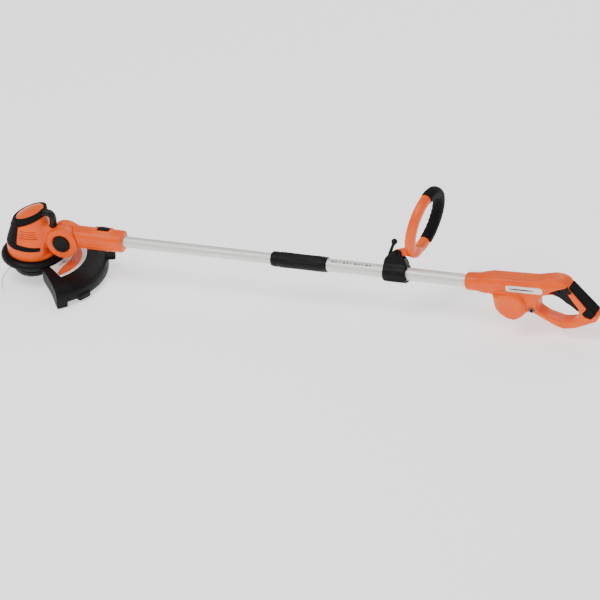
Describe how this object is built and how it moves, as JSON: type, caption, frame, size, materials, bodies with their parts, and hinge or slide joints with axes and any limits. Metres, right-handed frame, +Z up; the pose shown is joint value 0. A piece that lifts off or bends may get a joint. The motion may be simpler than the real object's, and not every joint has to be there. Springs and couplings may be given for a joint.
{
  "type": "string trimmer",
  "caption": "Cordless string trimmer with a telescoping shaft, tilting motor head, curved guard, clamped loop handle and D-shaped rear grip with trigger, without its battery.",
  "frame": {"origin": "under the middle of the machine's length, on the level of its lowest point", "axes": "+X along the shaft from the cutting head to the rear handle, +Z up with the shaft level, +Y towards the side that the front loop leans to"},
  "size_m": [1.3738, 0.2565, 0.2864],
  "materials": {
    "orange_plastic": "satin moulded",
    "black_plastic": "fine texture",
    "black_rubber": "soft-touch",
    "tube_metal": "satin anodised",
    "steel": "plain",
    "nylon_line": "translucent filament",
    "label": "printed film, no lettering",
    "copper_core": "lacquered winding",
    "board_green": "solder mask",
    "brass": "plain"
  },
  "bodies": {
    "handle_frame": {"upper_tube": "tube_metal", "lock_collet": "black_plastic", "rear_housing_left": "orange_plastic", "rear_housing_right": "orange_plastic", "rear_screws": "steel", "back_grip": "black_rubber", "side_panel_left": "black_plastic", "side_panel_right": "black_plastic", "side_labels": "label", "trigger_pin": "steel", "trigger_switch": "black_plastic", "control_board": "board_green", "battery_terminals": "black_plastic", "strap_eyelet": "steel"},
    "trigger_lever": {"trigger": "black_plastic"},
    "lock_off": {"lock_off_button": "black_plastic"},
    "carriage": {"clamp_liner": "black_plastic"},
    "clamp": {"handle_clamp": "black_plastic", "loop_pin": "steel", "lever_pin": "steel"},
    "loop": {"loop_handle": "orange_plastic", "loop_grip": "black_rubber"},
    "cam_lever": {"clamp_lever": "black_plastic"},
    "sleeve": {"lock_sleeve": "black_plastic"},
    "lower_shaft": {"lower_tube": "tube_metal", "swivel_collar": "black_plastic", "tube_plug": "black_plastic"},
    "neck": {"neck_left": "orange_plastic", "neck_right": "orange_plastic", "neck_screws": "steel", "tilt_bolt": "steel", "release_spring": "steel"},
    "release": {"release_button": "black_plastic"},
    "head": {"motor_housing_left": "orange_plastic", "motor_housing_right": "orange_plastic", "bumper": "black_rubber", "motor_cap": "orange_plastic", "cable_arch": "black_plastic", "motor_can": "steel", "lower_bearing": "steel", "upper_bearing": "steel", "flange_collar": "black_plastic", "guard": "black_plastic", "guard_label": "label", "line_cutter": "steel", "guard_screws": "steel", "tilt_ratchet": "steel", "tilt_spring": "steel"},
    "tilt_release": {"tilt_button": "black_plastic"},
    "line_head": {"rotor": "copper_core", "cooling_fan": "black_plastic", "spool_hub": "black_plastic", "spool_cover": "black_plastic", "line_reel": "black_plastic", "line_winding": "nylon_line", "line_eyelet": "brass", "bump_spring": "steel", "cutting_line": "nylon_line"},
    "bump": {"bump_knob": "black_plastic"}
  },
  "joints": [
    {"name": "telescope", "type": "slide", "parent": "handle_frame", "child": "lower_shaft", "axis": [1, 0, 0], "range_m": [0, 0.2]},
    {"name": "lock_sleeve_twist", "type": "hinge", "parent": "handle_frame", "child": "sleeve", "pos_m": [0.0035, 0, 0.1108], "axis": [1, 0, 0], "range_deg": [-60, 0]},
    {"name": "head_swivel", "type": "hinge", "parent": "lower_shaft", "child": "neck", "pos_m": [-0.4525, 0, 0.1108], "axis": [1, 0, 0], "range_deg": [0, 180]},
    {"name": "release_press", "type": "slide", "parent": "neck", "child": "release", "axis": [0, 0, -1], "range_m": [0, 0.003], "stiffness_N_per_m": 900, "deforming": ["release_spring"]},
    {"name": "head_tilt", "type": "hinge", "parent": "neck", "child": "head", "pos_m": [-0.5375, 0, 0.1038], "axis": [0, 1, 0], "range_deg": [0, 45]},
    {"name": "tilt_press", "type": "slide", "parent": "head", "child": "tilt_release", "axis": [0, 1, 0], "range_m": [0, 0.003], "stiffness_N_per_m": 900, "deforming": ["tilt_spring"]},
    {"name": "line_spin", "type": "hinge", "parent": "head", "child": "line_head", "pos_m": [-0.6195, 0, 0.0605], "axis": [0.0872, 0, 0.9962], "continuous": true},
    {"name": "bump_feed", "type": "slide", "parent": "line_head", "child": "bump", "axis": [0.0872, 0, 0.9962], "range_m": [0, 0.003], "stiffness_N_per_m": 1500, "deforming": ["bump_spring"]},
    {"name": "trigger_pull", "type": "hinge", "parent": "handle_frame", "child": "trigger_lever", "pos_m": [0.5845, 0, 0.1108], "axis": [0, -1, 0], "range_deg": [0, 7], "stiffness_Nm_per_rad": 1.2},
    {"name": "lock_off_press", "type": "slide", "parent": "handle_frame", "child": "lock_off", "axis": [0, 1, 0], "range_m": [0, 0.003], "stiffness_N_per_m": 700},
    {"name": "handle_slide", "type": "slide", "parent": "handle_frame", "child": "carriage", "axis": [1, 0, 0], "range_m": [-0.1, 0.1]},
    {"name": "handle_swivel", "type": "hinge", "parent": "carriage", "child": "clamp", "pos_m": [0.2335, 0, 0.1108], "axis": [1, 0, 0], "range_deg": [-15, 60]},
    {"name": "loop_tilt", "type": "hinge", "parent": "clamp", "child": "loop", "pos_m": [0.2235, 0.021, 0.14717], "axis": [0, 0.866, -0.5], "range_deg": [-40, 5]},
    {"name": "lever_open", "type": "hinge", "parent": "clamp", "child": "cam_lever", "pos_m": [0.2035, 0.013, 0.13332], "axis": [0, -0.866, 0.5], "range_deg": [0, 80]}
  ]
}
